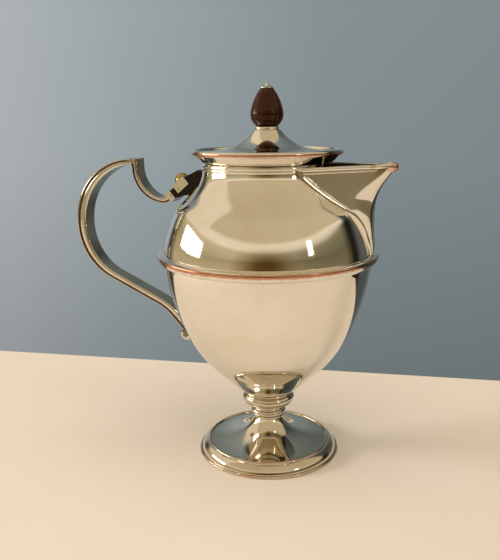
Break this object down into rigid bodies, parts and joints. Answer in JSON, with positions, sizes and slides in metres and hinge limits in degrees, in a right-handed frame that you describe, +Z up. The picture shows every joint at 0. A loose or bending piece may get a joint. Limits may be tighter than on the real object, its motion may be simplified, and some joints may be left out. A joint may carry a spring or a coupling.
{
  "type": "coffee pot",
  "caption": "Silver-plated urn-shaped coffee pot on a trumpet foot, with a beak spout, a strap scroll handle and a lift-off lid with a dark wooden acorn finial.",
  "frame": {"origin": "centre of the foot's flat underside, on the axis of the pot", "axes": "+Z up along the pot's axis, +X towards the spout, -X towards the handle"},
  "size_m": [0.2165, 0.1402, 0.2383],
  "materials": {
    "silver_plate": "mirror-polished silver plate, worn to copper on its high edges",
    "dark_wood": "dark polished hardwood",
    "brass": "polished brass"
  },
  "bodies": {
    "pot": {"foot_rim_wire": "silver_plate", "foot": "silver_plate", "foot_step_wire": "silver_plate", "stem_collar": "silver_plate", "stem_knop": "silver_plate", "lower_bowl": "silver_plate", "girdle_wire": "silver_plate", "upper_body": "silver_plate", "neck_rim_wire": "silver_plate", "spout_shell": "silver_plate", "spout_rim_wire": "silver_plate", "handle_scroll": "silver_plate", "handle_upper_ferrule": "silver_plate", "ferrule_pin": "brass", "handle_upper_insulator": "dark_wood", "insulator_saddle": "silver_plate", "saddle_pin": "brass", "insulator_screw": "brass", "insulator_boss": "brass", "handle_lower_lug": "silver_plate", "handle_lower_insulator": "dark_wood", "handle_lower_pin": "brass"},
    "lid": {"lid_bezel": "silver_plate", "lid_shell": "silver_plate", "lid_rim_wire": "silver_plate", "finial_seat": "silver_plate", "finial_wood": "dark_wood", "finial_cap": "silver_plate", "finial_stud": "brass", "finial_nut": "brass"}
  },
  "joints": [
    {"name": "lid_lift", "type": "slide", "parent": "pot", "child": "lid", "axis": [0, 0, 1], "range_m": [0, 0.06]}
  ]
}
